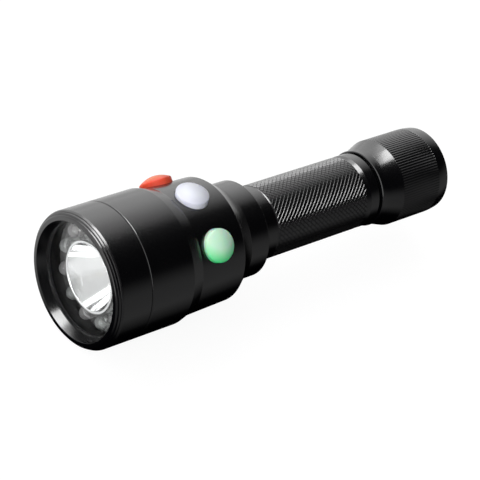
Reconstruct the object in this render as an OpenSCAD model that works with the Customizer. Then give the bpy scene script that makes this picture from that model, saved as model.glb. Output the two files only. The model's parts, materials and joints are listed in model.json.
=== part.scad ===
// Railway signal flashlight: a turned aluminium hand lamp with one main beam, a ring of small
// signal lamps round its reflector, three push buttons on the head and a screw-on tail cap.
// Sizes are in millimetres. The lamp lies on its side: the beam points along -Y, the tail
// along +Y and the middle button faces +Z. The origin lies under the middle of the lamp.
// Places along the lamp are distances behind the front rim.

/* [Head] */
// Outer diameter of the bezel and the head
head_d = 48; // [46:0.5:54]
// Length of the screw-on bezel, from the front rim to the seam
bezel_len = 14; // [12:0.5:17]
// Length of the plain head behind the seam
head_len = 17.6; // [16.6:0.2:24]
// Length of the chamfer in front of the button section
front_chamfer_len = 4.8; // [3.4:0.2:7]
// Drop in radius over that chamfer
front_chamfer_drop = 1.3; // [0.8:0.1:1.8]
// Length of the button section
button_section_len = 18.8; // [17:0.2:24]
// Loss of radius along the button section
button_section_taper = 0.5; // [0:0.1:0.8]
// Length of the chamfer behind the button section
rear_chamfer_len = 7.2; // [5:0.2:10]
// Length of the neck that takes the barrel
neck_len = 8.3; // [6:0.1:14]
// Wall of the neck round the barrel's thread
neck_wall = 4.3; // [3:0.1:4.8]
// Wall of the bezel round its thread
bezel_wall = 1.7; // [1.4:0.1:2]
// Wall of the threaded spigot that the bezel screws onto
spigot_wall = 1.6; // [1.4:0.1:1.8]
// Wall round the switches, under the button section
button_wall = 3.6; // [3.2:0.1:4]

/* [Bezel and lens] */
// Wall of the bezel at its mouth
mouth_wall = 3.1; // [2.9:0.05:3.5]
// Length of the slope inside the mouth
mouth_len = 3.2; // [2.6:0.1:3.5]
// Wall of the bezel at the lens seat
seat_wall = 4.4; // [4.2:0.1:4.6]
// Depth of the front recess down to the lens gasket
recess_depth = 4.4; // [3.6:0.1:5.2]
// Thickness of the lens gasket
gasket_t = 0.5; // [0.3:0.1:0.8]
// Thickness of the lens
lens_t = 2; // [1.5:0.1:2.6]
// Depth of the two steps between the head's diameter and the front lip
lip_step = 1.35; // [1:0.05:1.5]
// Length of the stepped rim behind the front lip
rim_len = 2.3; // [1.8:0.1:3]

/* [Lamps] */
// Diameter of the reflector's rim
reflector_d = 25.4; // [24:0.2:26]
// Width of the reflector's flat rim
reflector_rim = 1; // [0.8:0.1:1.4]
// Wall of the reflector's cup
reflector_wall = 0.9; // [0.7:0.1:1.1]
// Number of signal lamps, red and green in turn
led_count = 12; // [8:2:12]
// Diameter of a signal lamp
led_d = 5; // [4.6:0.1:5.2]
// Length of a signal lamp
led_len = 8.6; // [7.4:0.1:9]
// Diameter of the circle of signal lamps
led_circle_d = 33; // [32.2:0.1:33.6]
// Space between the lens and the tips of the signal lamps
led_gap = 0.6; // [0.4:0.1:1.6]
// Length of the standoffs under the signal board
standoff_len = 6.8; // [5.8:0.1:7.8]
// Thickness of the heat sink
heat_sink_t = 4; // [3:0.2:5]
// Thickness of every circuit board
board_t = 1.6; // [1.2:0.1:2]

/* [Buttons] */
// Diameter of a button
button_d = 11.5; // [9:0.1:12]
// Angle between neighbouring buttons
button_angle = 50; // [47:1:58]
// Distance of the buttons behind the front of their section
button_at = 7.6; // [7.2:0.1:9]
// Height of a button's middle above the head
button_rise = 3.35; // [2.8:0.05:3.7]
// Height of the dome on a button
button_dome = 1.9; // [1.2:0.05:2.2]
// Travel of a button
button_travel = 0.8; // [0.4:0.1:1.1]

/* [Barrel and battery] */
// Diameter of the battery cell
cell_d = 18.6; // [18.2:0.1:19]
// Length of the battery cell with its raised contact
cell_len = 69; // [65:0.5:71]
// Thickness of the sleeve round the cell
sleeve_t = 1.1; // [0.8:0.1:1.6]
// Wall of the barrel under the grip
barrel_wall = 2.7; // [2.5:0.1:3.4]
// Length of the smooth collar in front of the grip
collar_len = 7.8; // [5:0.1:12]
// Length of the grip
grip_len = 42.7; // [40:0.1:60]
// Length of the smooth ring behind the grip
rear_ring_len = 6.2; // [5:0.1:9]
// Length of the thread that takes the tail cap
cap_thread_len = 11; // [10:0.5:13]
// Pitch of the tail cap's thread
thread_pitch = 1.5; // [1:0.25:1.75]

/* [Tail cap] */
// Gap that shows between the barrel and the tail cap
cap_gap = 1; // [0.6:0.1:1.6]
// Wall of the tail cap round its thread
cap_wall = 1.4; // [1.2:0.1:2]
// Length of the cap's plain front ring
cap_ring_len = 3.4; // [2:0.1:6]
// Length of the cap's cone
cap_cone_len = 5.9; // [4:0.1:8]
// Growth in radius over the cone
cap_flare = 2.05; // [1.5:0.05:2.6]
// Length of the ribbed part
rib_len = 17.9; // [15:0.1:24]
// Number of ribs
rib_count = 100; // [60:2:120]
// Depth of the grooves between the ribs
rib_depth = 0.4; // [0.2:0.05:0.6]
// Length of the rounded end ring
cap_end_len = 5.4; // [5:0.1:8]
// Loss of radius over the end ring
cap_end_drop = 1.05; // [0.6:0.05:1.2]
// Depth of the recess in the tail
tail_recess_depth = 7; // [6:0.5:9]
// Wall of the end ring round that recess
tail_recess_wall = 3.2; // [2.6:0.1:4]
// Diameter of the lanyard hole
lanyard_d = 3; // [2:0.1:3.2]
// Distance of the lanyard hole behind the ribs
lanyard_at = 1.9; // [1.8:0.1:2.4]
// Place of the lanyard hole round the cap, from the +X side towards the top
lanyard_angle = -7; // [-60:1:60]

/* [Hidden] */
$fn = 96;

// Clearances: fixed threads and liners, screws in their holes, pieces that move on another
thread_clear = 0.1;
liner_clear = 0.2;
hole_clear = 0.1;
move_clear = 0.3;
// Length by which a cutter runs past the face that it cuts
past = 1;

// Stations along the lamp
seam_s = bezel_len;
head_end_s = seam_s + head_len;
button_front_s = head_end_s + front_chamfer_len;
button_rear_s = button_front_s + button_section_len;
neck_front_s = button_rear_s + rear_chamfer_len;
neck_rear_s = neck_front_s + neck_len;
grip_front_s = neck_rear_s + collar_len;
grip_rear_s = grip_front_s + grip_len;
barrel_rear_s = grip_rear_s + rear_ring_len;
cap_front_s = barrel_rear_s + cap_gap;
cap_cone_s = cap_front_s + cap_ring_len;
rib_front_s = cap_cone_s + cap_cone_len;
rib_rear_s = rib_front_s + rib_len;
tail_s = rib_rear_s + cap_end_len;

// Radii of the head
head_r = head_d / 2;
lip_r = head_r - lip_step;
bead_r = head_r - lip_step / 2;
mouth_r = head_r - mouth_wall;
aperture_r = head_r - seat_wall;
bezel_bore_r = head_r - bezel_wall;
spigot_r = bezel_bore_r - thread_clear;
head_bore_r = spigot_r - spigot_wall;
button_front_r = head_r - front_chamfer_drop;
button_rear_r = button_front_r - button_section_taper;
cavity_r = button_rear_r - button_wall;

// Edges, trim and seals that are alike all over the lamp
lip_edge = 0.35;
bead_edge = 0.15;
seam_chamfer = 0.15;
edge_chamfer = 0.5;
seal_d = 1.1;
seal_groove_w = 1.6;
// Distance of a fixed seal from the shoulder behind it
seal_setback = 2.4;

// Lens and signal lamps, stacked behind the front recess
lens_front_s = recess_depth + gasket_t;
lens_back_s = lens_front_s + lens_t;
lens_r = bezel_bore_r - liner_clear;
bezel_seal_s = seam_s - seal_setback;
led_tip_s = lens_back_s + led_gap;
led_flange_t = 1;
led_flange_lip = 0.4;
led_flange_r = led_d / 2 + led_flange_lip;
led_circle_r = led_circle_d / 2;
signal_board_s = led_tip_s + led_len;
signal_board_back_s = signal_board_s + board_t;
heat_sink_s = signal_board_back_s + standoff_len;
heat_sink_back_s = heat_sink_s + heat_sink_t;

// Main lamp in the focus of its reflector
reflector_r = reflector_d / 2;
reflector_mouth_r = reflector_r - reflector_rim;
rim_t = 1.2;
main_board_s = heat_sink_s - board_t;
emitter_w = 3.45;
emitter_t = 0.6;
emitter_dome_r = 1.3;
centering_t = 0.9;
focus_s = main_board_s - emitter_t;
cup_depth = focus_s - lens_back_s;
focal_len = (sqrt(cup_depth * cup_depth + reflector_mouth_r * reflector_mouth_r) - cup_depth) / 2;
cup_base_s = main_board_s - centering_t;
cup_steps = 16;
centering_r = cup_r(cup_base_s) + reflector_wall;

// Small screws: head, shank and the circles that they stand on
screw_r = 0.8;
screw_head_r = 1.45;
screw_head_t = 1.2;
screw_bite = 2.4;
screw_head_clear = 0.5;
main_screw_inset = 1.8;
main_screw_circle_r = centering_r + screw_head_r + screw_head_clear;
main_board_r = main_screw_circle_r + main_screw_inset;
board_screw_angle = 15;
standoff_r = 2;
standoff_clear = 0.6;
board_screw_circle_r = main_board_r + standoff_r + standoff_clear;
signal_board_bore_r = board_screw_circle_r - standoff_r;
wire_r = 0.7;
wire_clear = 0.3;
wire_hole_r = wire_r + wire_clear;
signal_wire_inset = 2.1;
signal_wire_circle_r = cavity_r - signal_wire_inset;

// Buttons and switches, as heights from the lamp's axis
button_r = button_d / 2;
button_s = button_front_s + button_at;
button_surface_r = button_front_r - button_section_taper * button_at / button_section_len;
button_top_h = button_surface_r + button_rise;
button_land = 2.2;
dome_steps = 12;
button_clear = 0.2;
button_hole_r = button_r + button_clear;
flange_lip = 1.1;
flange_r = button_r + flange_lip;
flange_hole_r = flange_r + move_clear;
flange_t = 1.2;
flange_seat_h = button_surface_r - button_land;
flange_top_h = flange_seat_h - button_clear;
flange_base_h = flange_top_h - flange_t;
plunger_r = 1.7;
plunger_stand = 1.8;
plunger_out = button_travel + plunger_stand;
plunger_in = 0.9;
switch_w = 6;
switch_h = 3.3;
switch_top_h = flange_base_h - plunger_out;
switch_board_h = switch_top_h - switch_h;
carrier_flat_h = switch_board_h - board_t;
switch_board_w = 2 * carrier_flat_h * tan(button_angle / 2) - 2 * liner_clear;
switch_board_len = 14.4;
switch_screw_at = 5.5;
pocket_margin = 1;
pocket_len = 2 * (flange_r + pocket_margin);
carrier_wire_gap = 0.9;
carrier_bore_r = main_screw_circle_r + wire_r + carrier_wire_gap;
switch_wire_r = 0.5;
switch_wire_at = switch_w / 3;
switch_wire_h = carrier_flat_h + board_t / 2;
BUTTON_ANGLES = [90 + button_angle, 90, 90 - button_angle];

// Driver, front contact and battery
driver_setback = 0.8;
driver_back_s = button_rear_s + driver_setback;
driver_front_s = driver_back_s - board_t;
driver_r = cavity_r - 2 * liner_clear;
contact_len = 4.3;
contact_r = 3;
insulator_t = 2.5;
cell_front_s = driver_back_s + contact_len;
cell_cap_t = 1.5;
cell_cap_r = 2.9;
cell_rear_s = cell_front_s + cell_len;
cell_r = cell_d / 2;
sleeve_inset = 1.2;
chip_size = [5, 4, 1.6];
chip_at = [-6.4, -2];
coil_r = 2.9;
coil_t = 3;
coil_at = [4, 0];

// Barrel and tail cap radii
barrel_bore_r = cell_r + sleeve_t + 2 * liner_clear;
grip_r = barrel_bore_r + barrel_wall;
collar_step = 0.2;
collar_r = grip_r - collar_step;
spigot_step = 0.6;
barrel_spigot_r = grip_r - spigot_step;
neck_bore_r = barrel_spigot_r + thread_clear;
neck_r = neck_bore_r + neck_wall;
neck_seal_s = neck_rear_s - seal_setback;
grip_relief = 0.6;
grip_relief_len = 2;
cap_spigot_step = 1.1;
cap_spigot_r = grip_r - cap_spigot_step;
cap_spigot_end_s = barrel_rear_s + cap_thread_len;
cap_seal_inset = 1.6;
cap_seal_s = cap_front_s + cap_seal_inset;
thread_front_s = cap_seal_s + seal_groove_w;
thread_d = 0.45;
thread_turns = floor((cap_spigot_end_s - edge_chamfer - thread_front_s) / thread_pitch);
cap_bore_r = cap_spigot_r + move_clear;
cap_ring_r = cap_bore_r + cap_wall;
cap_r = cap_ring_r + cap_flare;
cap_end_r = cap_r - cap_end_drop;
rib_groove_w = PI * cap_r / rib_count;
rib_runout = 1.2 * rib_depth * cap_cone_len / cap_flare;
end_edge = 0.6;
end_arc_len = cap_end_len - end_edge;
end_arc_drop = cap_end_drop - end_edge;
end_arc_r = (end_arc_len * end_arc_len + end_arc_drop * end_arc_drop) / (2 * end_arc_drop);
end_arc_steps = 8;
tail_recess_s = tail_s - tail_recess_depth;
tail_recess_r = cap_r - tail_recess_wall;
lanyard_s = rib_rear_s + lanyard_at;

// Contact pieces in the tail cap
cap_end_play = 0.6;
cap_bore_end_s = cap_spigot_end_s + cap_end_play;
retaining_ring_s = cap_bore_end_s + cap_end_play;
retaining_ring_t = 3;
retaining_ring_w = 3.3;
cap_seat_step = 0.7;
cap_seat_r = cap_bore_r - cap_seat_step;
retaining_ring_r = cap_seat_r - thread_clear;
retaining_bore_r = retaining_ring_r - retaining_ring_w;
tail_board_s = retaining_ring_s + retaining_ring_t;
tail_board_back_s = tail_board_s + board_t;

// Tail spring: a cone of wire between the cell and the contact board
spring_wire_r = 0.45;
spring_turns = 5;
spring_narrow_r = 2.5;
spring_wide_r = retaining_bore_r - move_clear - spring_wire_r;
spring_front_s = cell_rear_s + move_clear + spring_wire_r;
spring_rear_s = tail_board_s - move_clear - spring_wire_r;
spring_sides = 6;
rings_per_turn = 8;
spring_rings = spring_turns * rings_per_turn;

// The lamp's own axis: local z runs from the front rim to the tail, local -y points up
module along_axis() translate([0, -tail_s / 2, head_r]) rotate([-90, 0, 0]) children();

// A turn about the axis, from the +X side towards the top
module at_angle(angle) rotate([0, 0, -angle]) children();

// A button's own axis: local z points out of the head, local x towards the front
module on_button(angle)
    along_axis() at_angle(angle) translate([0, 0, button_s]) rotate([0, 90, 0]) children();

module turned(outline) along_axis() rotate_extrude() polygon(outline);

module ring(r_out, r_in, front, back)
    turned([[r_in, front], [r_out, front], [r_out, back], [r_in, back]]);

module seal(groove_bottom_r, at)
    along_axis() translate([0, 0, at]) rotate_extrude() translate([groove_bottom_r + seal_d / 2, 0])
        circle(d = seal_d, $fn = 32);

// A row of copies on a circle round the axis
module on_circle(r, angles, front)
    along_axis() for (angle = angles) at_angle(angle) translate([r, 0, front]) children();

// A screw whose head lies in front of the given place
module screw(length) {
    translate([0, 0, -screw_head_t]) cylinder(r = screw_head_r, h = screw_head_t);
    cylinder(r = screw_r, h = length);
}

// A point round the axis, at an angle from the +X side towards the top
function round_axis(r, angle) = [r * cos(angle), -r * sin(angle)];

function spread(count, start) = [for (i = [0 : count - 1]) start + 360 * i / count];

BOARD_SCREW_ANGLES = spread(3, board_screw_angle);
MAIN_SCREW_ANGLES = [0, 180];
MAIN_WIRE_ANGLES = [250, 290];
SIGNAL_WIRE_ANGLES = [240, 260, 280, 300];
RED_LED_ANGLES = spread(led_count / 2, 90);
GREEN_LED_ANGLES = spread(led_count / 2, 90 + 360 / led_count);

// Bezel: the screw-on front ring, with a lip, a bead and the full diameter in two steps and a sloped mouth
module bezel_ring() color("#141416") turned([
    [mouth_r, 0],
    [lip_r - lip_edge, 0],
    [lip_r, lip_edge],
    [lip_r, rim_len / 3],
    [bead_r - bead_edge, rim_len / 3],
    [bead_r, rim_len / 3 + bead_edge],
    [bead_r, rim_len * 2 / 3],
    [head_r - lip_edge, rim_len * 2 / 3],
    [head_r, rim_len],
    [head_r, seam_s - seam_chamfer],
    [head_r - seam_chamfer, seam_s],
    [bezel_bore_r, seam_s],
    [bezel_bore_r, recess_depth],
    [aperture_r, recess_depth],
    [aperture_r, mouth_len]
]);

module lens_gasket() color("#0b0b0c") ring(lens_r, aperture_r, recess_depth, lens_front_s);

module lens() color("#dfeaf0", 0.35) along_axis() translate([0, 0, lens_front_s])
    cylinder(r = lens_r, h = lens_t);

module bezel_o_ring() color("#0b0b0c") seal(bezel_bore_r - seal_d, bezel_seal_s);

module button_bores() for (angle = BUTTON_ANGLES) on_button(angle) {
    cylinder(r = button_hole_r, h = head_r + past);
    cylinder(r = flange_hole_r, h = flange_seat_h);
}

// Head: one turned shell, from the bezel's spigot to the neck, bored for the three buttons
module head_body() color("#141416") difference() {
    turned([
        [head_bore_r, lens_back_s],
        [spigot_r, lens_back_s],
        [spigot_r, bezel_seal_s - seal_groove_w / 2],
        [bezel_bore_r - seal_d, bezel_seal_s - seal_groove_w / 2],
        [bezel_bore_r - seal_d, bezel_seal_s + seal_groove_w / 2],
        [spigot_r, bezel_seal_s + seal_groove_w / 2],
        [spigot_r, seam_s],
        [head_r - seam_chamfer, seam_s],
        [head_r, seam_s + seam_chamfer],
        [head_r, head_end_s - edge_chamfer],
        [head_r - edge_chamfer / 4, head_end_s],
        [button_front_r, button_front_s],
        [button_rear_r, button_rear_s],
        [neck_r, neck_front_s],
        [neck_r, neck_rear_s - edge_chamfer],
        [neck_r - edge_chamfer, neck_rear_s],
        [neck_bore_r, neck_rear_s],
        [neck_bore_r, driver_back_s],
        [cavity_r, driver_back_s],
        [cavity_r, heat_sink_back_s],
        [head_bore_r, heat_sink_back_s]
    ]);
    button_bores();
}

// Reflector: a bright cup on the curve that gathers the main lamp's light
function cup_s(i) = lens_back_s + (cup_base_s - lens_back_s) * i / cup_steps;
function cup_r(s) = sqrt(4 * focal_len * (focus_s + focal_len - s));
module reflector() color("#e8eaec") {
    inside = [for (i = [0 : cup_steps]) [cup_r(cup_s(i)), cup_s(i)]];
    outside = [for (i = [cup_steps : -1 : 0])
        if (cup_s(i) > lens_back_s + rim_t) [cup_r(cup_s(i)) + reflector_wall, cup_s(i)]];
    turned(concat(inside, outside, [
        [cup_r(lens_back_s + rim_t) + reflector_wall, lens_back_s + rim_t],
        [reflector_r, lens_back_s + rim_t],
        [reflector_r, lens_back_s]
    ]));
}

module led_centering_ring() color("#f2f2ee")
    ring(centering_r, emitter_w / sqrt(2) + hole_clear, cup_base_s, main_board_s);

module main_led() color("#f4e9a0") along_axis() translate([0, 0, main_board_s - emitter_t]) {
    translate([0, 0, emitter_t / 2]) cube([emitter_w, emitter_w, emitter_t], center = true);
    intersection() {
        sphere(r = emitter_dome_r);
        translate([0, 0, -emitter_dome_r])
            cylinder(r = 2 * emitter_dome_r, h = emitter_dome_r + emitter_t / 2);
    }
}

module main_led_board() color("#e9ecef") difference() {
    ring(main_board_r, 0, main_board_s, heat_sink_s);
    on_circle(main_screw_circle_r, MAIN_SCREW_ANGLES, main_board_s - past)
        cylinder(r = screw_r + hole_clear, h = board_t + 2 * past);
    on_circle(main_screw_circle_r, MAIN_WIRE_ANGLES, main_board_s - past)
        cylinder(r = wire_hole_r, h = board_t + 2 * past);
}

module main_board_screws() color("#b9bcc0")
    on_circle(main_screw_circle_r, MAIN_SCREW_ANGLES, main_board_s) screw(board_t + screw_bite);

// Signal board: a ring of circuit board round the reflector that carries the small lamps
module signal_board() color("#d9dcd8") difference() {
    ring(head_bore_r - move_clear, signal_board_bore_r, signal_board_s, signal_board_back_s);
    on_circle(board_screw_circle_r, BOARD_SCREW_ANGLES, signal_board_s - past)
        cylinder(r = screw_r + hole_clear, h = board_t + 2 * past);
}

// A small lamp: a flange on the board, a round body and a domed tip
module signal_led() {
    translate([0, 0, led_d / 2]) sphere(d = led_d, $fn = 48);
    translate([0, 0, led_d / 2]) cylinder(d = led_d, h = led_len - led_d / 2);
    translate([0, 0, led_len - led_flange_t]) cylinder(r = led_flange_r, h = led_flange_t);
}

module red_signal_leds() color("#f3e3e3") on_circle(led_circle_r, RED_LED_ANGLES, led_tip_s) signal_led();

module green_signal_leds() color("#e3f3e8") on_circle(led_circle_r, GREEN_LED_ANGLES, led_tip_s) signal_led();

module board_standoffs() color("#c9a648")
    on_circle(board_screw_circle_r, BOARD_SCREW_ANGLES, signal_board_back_s) difference() {
        cylinder(r = standoff_r, h = standoff_len);
        translate([0, 0, -past]) cylinder(r = screw_r + hole_clear, h = standoff_len + 2 * past);
    }

module board_screws() color("#b9bcc0") on_circle(board_screw_circle_r, BOARD_SCREW_ANGLES, signal_board_s)
    screw(board_t + standoff_len + screw_bite);

// Heat sink: a thick disc on the head's shoulder, drilled for its screws and for the wires
module heat_sink() color("#c4c7ca") difference() {
    ring(head_bore_r - liner_clear, 0, heat_sink_s, heat_sink_back_s);
    on_circle(main_screw_circle_r, MAIN_SCREW_ANGLES, heat_sink_s - past)
        cylinder(r = screw_r + hole_clear, h = screw_bite + past);
    on_circle(board_screw_circle_r, BOARD_SCREW_ANGLES, heat_sink_s - past)
        cylinder(r = screw_r + hole_clear, h = screw_bite + past);
    on_circle(main_screw_circle_r, MAIN_WIRE_ANGLES, heat_sink_s - past)
        cylinder(r = wire_hole_r, h = heat_sink_t + 2 * past);
    on_circle(signal_wire_circle_r, SIGNAL_WIRE_ANGLES, heat_sink_s - past)
        cylinder(r = wire_hole_r, h = heat_sink_t + 2 * past);
}

module main_led_wires() color("#c23b2e") on_circle(main_screw_circle_r, MAIN_WIRE_ANGLES, main_board_s)
    cylinder(r = wire_r, h = driver_front_s - main_board_s);

module signal_wires() color("#33373d")
    on_circle(signal_wire_circle_r, SIGNAL_WIRE_ANGLES, signal_board_back_s)
        cylinder(r = wire_r, h = driver_front_s - signal_board_back_s);

// The space above the three flats of the switch carrier, seen along the axis
module above_flats() {
    left = BUTTON_ANGLES[0];
    right = BUTTON_ANGLES[2];
    corner_r = carrier_flat_h / cos(button_angle / 2);
    polygon([
        round_axis(carrier_flat_h, left) + round_axis(head_r, left + 90),
        round_axis(corner_r, left - button_angle / 2),
        round_axis(corner_r, right + button_angle / 2),
        round_axis(carrier_flat_h, right) + round_axis(head_r, right - 90),
        round_axis(2 * head_d, right),
        round_axis(2 * head_d, left)
    ]);
}

// Switch carrier: a moulded drum between heat sink and driver, with a flat under each button
module switch_carrier() color("#2b2d31") difference() {
    ring(cavity_r - liner_clear, carrier_bore_r, heat_sink_back_s, driver_front_s);
    along_axis() translate([0, 0, button_s - pocket_len / 2]) linear_extrude(pocket_len) above_flats();
    for (angle = BUTTON_ANGLES) on_button(angle) {
        for (side = [-1, 1]) translate([side * switch_screw_at, 0, carrier_flat_h - screw_bite])
            cylinder(r = screw_r + hole_clear, h = screw_bite + past);
        for (side = [-1, 1]) translate([past - pocket_len / 2, side * switch_wire_at, switch_wire_h])
            rotate([0, -90, 0]) cylinder(r = switch_wire_r + hole_clear, h = driver_back_s - button_s);
    }
    on_circle(signal_wire_circle_r, SIGNAL_WIRE_ANGLES, heat_sink_back_s - past)
        cylinder(r = wire_hole_r, h = driver_front_s - heat_sink_back_s + 2 * past);
}

module switch_boards() color("#1f6b3a") for (angle = BUTTON_ANGLES) on_button(angle) difference() {
    translate([-switch_board_len / 2, -switch_board_w / 2, carrier_flat_h])
        cube([switch_board_len, switch_board_w, board_t]);
    for (side = [-1, 1]) translate([side * switch_screw_at, 0, carrier_flat_h - past])
        cylinder(r = screw_r + hole_clear, h = board_t + 2 * past);
}

module switch_board_screws() color("#b9bcc0") for (angle = BUTTON_ANGLES) on_button(angle)
    for (side = [-1, 1]) translate([side * switch_screw_at, 0, switch_board_h])
        mirror([0, 0, 1]) screw(board_t + screw_bite - hole_clear);

module switch_bodies() color("#17181a") for (angle = BUTTON_ANGLES) on_button(angle) difference() {
    translate([-switch_w / 2, -switch_w / 2, switch_board_h]) cube([switch_w, switch_w, switch_h]);
    translate([0, 0, switch_top_h - plunger_in - button_travel - hole_clear])
        cylinder(r = plunger_r + hole_clear, h = plunger_in + button_travel + past);
}

// Wires from the rear edge of each switch board straight back to the driver
module switch_wires() color("#3a5fa8") for (angle = BUTTON_ANGLES, side = [-1, 1]) on_button(angle)
    translate([-switch_board_len / 2, side * switch_wire_at, switch_wire_h])
        rotate([0, -90, 0]) cylinder(r = switch_wire_r, h = driver_front_s - button_s - switch_board_len / 2);

// A button: a domed cap on a flange that stops against the inside of the head
module button_cap(angle) on_button(angle) rotate_extrude() polygon(concat(
    [[0, flange_base_h], [flange_r, flange_base_h], [flange_r, flange_top_h], [button_r, flange_top_h]],
    [for (i = [0 : dome_steps]) let (r = button_r * (1 - i / dome_steps))
        [r, button_top_h - button_dome * pow(r / button_r, 2)]]
));

module red_button() color("#e8401c") button_cap(BUTTON_ANGLES[0]);

module white_button() color("#d5dcea") button_cap(BUTTON_ANGLES[1]);

module green_button() color("#7fdc9c") button_cap(BUTTON_ANGLES[2]);

module plunger(angle) on_button(angle) translate([0, 0, switch_top_h - plunger_in])
    cylinder(r = plunger_r, h = plunger_in + plunger_out);

module red_plunger() color("#d0d0cc") plunger(BUTTON_ANGLES[0]);

module white_plunger() color("#d0d0cc") plunger(BUTTON_ANGLES[1]);

module green_plunger() color("#d0d0cc") plunger(BUTTON_ANGLES[2]);

// Driver: the round circuit board on the shoulder above the barrel
module driver_board() color("#1f6b3a") ring(driver_r, 0, driver_front_s, driver_back_s);

module driver_chip() color("#17181a") along_axis()
    translate([chip_at[0], chip_at[1], driver_front_s - chip_size[2]]) cube(chip_size);

module driver_coil() color("#6b4a32") along_axis()
    translate([coil_at[0], coil_at[1], driver_front_s - coil_t]) cylinder(r = coil_r, h = coil_t);

module positive_contact() color("#c9a648") along_axis() translate([0, 0, driver_back_s])
    cylinder(r = contact_r, h = contact_len);

module contact_insulator() color("#e6e6e0")
    ring(barrel_bore_r - liner_clear, contact_r + liner_clear, driver_back_s, driver_back_s + insulator_t);

// Barrel: one turned tube with a spigot at each end, a collar, the grip and a rear ring
module barrel_tube() color("#141416") turned(concat(
    [
        [barrel_bore_r, driver_back_s],
        [barrel_spigot_r - edge_chamfer, driver_back_s],
        [barrel_spigot_r, driver_back_s + edge_chamfer],
        [barrel_spigot_r, neck_seal_s - seal_groove_w / 2],
        [neck_bore_r - seal_d, neck_seal_s - seal_groove_w / 2],
        [neck_bore_r - seal_d, neck_seal_s + seal_groove_w / 2],
        [barrel_spigot_r, neck_seal_s + seal_groove_w / 2],
        [barrel_spigot_r, neck_rear_s],
        [collar_r, neck_rear_s],
        [collar_r, grip_front_s - edge_chamfer],
        [grip_r, grip_front_s],
        [grip_r, grip_rear_s],
        [grip_r - grip_relief, grip_rear_s + edge_chamfer / 2],
        [grip_r, grip_rear_s + grip_relief_len],
        [grip_r, barrel_rear_s - edge_chamfer / 2],
        [grip_r - edge_chamfer / 2, barrel_rear_s],
        [cap_spigot_r, barrel_rear_s],
        [cap_spigot_r, cap_seal_s - seal_groove_w / 2],
        [cap_spigot_r - seal_d, cap_seal_s - seal_groove_w / 2],
        [cap_spigot_r - seal_d, cap_seal_s + seal_groove_w / 2],
        [cap_spigot_r, cap_seal_s + seal_groove_w / 2]
    ],
    [for (i = [0 : thread_turns - 1], corner = [[0, 0], [1, 0.5]])
        [cap_spigot_r - corner[0] * thread_d, thread_front_s + (i + corner[1]) * thread_pitch]],
    [
        [cap_spigot_r, thread_front_s + thread_turns * thread_pitch],
        [cap_spigot_r - edge_chamfer, cap_spigot_end_s],
        [barrel_bore_r, cap_spigot_end_s]
    ]
));

module barrel_front_o_ring() color("#0b0b0c") seal(neck_bore_r - seal_d, neck_seal_s);

module barrel_rear_o_ring() color("#0b0b0c") seal(cap_spigot_r - seal_d + thread_clear, cap_seal_s);

module battery_sleeve() color("#e6e6e0") ring(barrel_bore_r - liner_clear, cell_r + liner_clear,
    cell_front_s + cell_cap_t + sleeve_inset, cell_rear_s - sleeve_inset);

module battery_cell() color("#2f6fb5") ring(cell_r, 0, cell_front_s + cell_cap_t, cell_rear_s);

module battery_cap() color("#c8ccd0") ring(cell_cap_r, 0, cell_front_s, cell_front_s + cell_cap_t);

// The grooves between the cap's ribs, each as wide as the rib beside it, running out on the cone
module rib_grooves() on_circle(cap_r, spread(rib_count, 90 / rib_count), rib_front_s - rib_runout)
    linear_extrude(rib_len + rib_runout)
        polygon([[-rib_depth, 0], [rib_depth, -rib_groove_w], [rib_depth, rib_groove_w]]);

// Tail cap: turned body with a cone, a ribbed band, a rounded end ring and the lanyard hole
module tail_cap() color("#141416") difference() {
    turned(concat(
        [
            [0, cap_front_s],
            [cap_ring_r - edge_chamfer / 2, cap_front_s],
            [cap_ring_r, cap_front_s + edge_chamfer / 2],
            [cap_ring_r, cap_cone_s],
            [cap_r, rib_front_s]
        ],
        [for (i = [0 : end_arc_steps]) let (along = end_arc_len * i / end_arc_steps)
            [cap_r - end_arc_r + sqrt(end_arc_r * end_arc_r - along * along), rib_rear_s + along]],
        [[cap_end_r, tail_s], [0, tail_s]]
    ));
    rib_grooves();
    ring(cap_bore_r, 0, cap_front_s - past, cap_bore_end_s);
    ring(cap_seat_r, 0, cap_front_s, tail_board_back_s);
    ring(tail_recess_r, 0, tail_recess_s, tail_s + past);
    on_circle(0, [lanyard_angle], lanyard_s) rotate([0, 90, 0]) cylinder(d = lanyard_d, h = cap_r + past);
}

module tail_contact_board() color("#1f6b3a") ring(retaining_ring_r, 0, tail_board_s, tail_board_back_s);

module tail_retaining_ring() color("#c9a648")
    ring(retaining_ring_r, retaining_bore_r, retaining_ring_s, tail_board_s);

// Tail spring: one unbroken tube wound on a cone
function spring_centre(i) = let (t = i / spring_rings, angle = 360 * i / rings_per_turn,
    r = spring_narrow_r + (spring_wide_r - spring_narrow_r) * t)
    [r * cos(angle), r * sin(angle), spring_front_s + (spring_rear_s - spring_front_s) * t];
function spring_point(i, k) = let (angle = 360 * i / rings_per_turn, turn = 360 * k / spring_sides)
    spring_centre(i) + spring_wire_r * [cos(turn) * cos(angle), cos(turn) * sin(angle), sin(turn)];
spring_gap = min([for (i = [0 : spring_rings - rings_per_turn])
    norm(spring_centre(i + rings_per_turn) - spring_centre(i)) - 2 * spring_wire_r]);
echo("tail spring, least gap between its turns", spring_gap);

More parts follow.
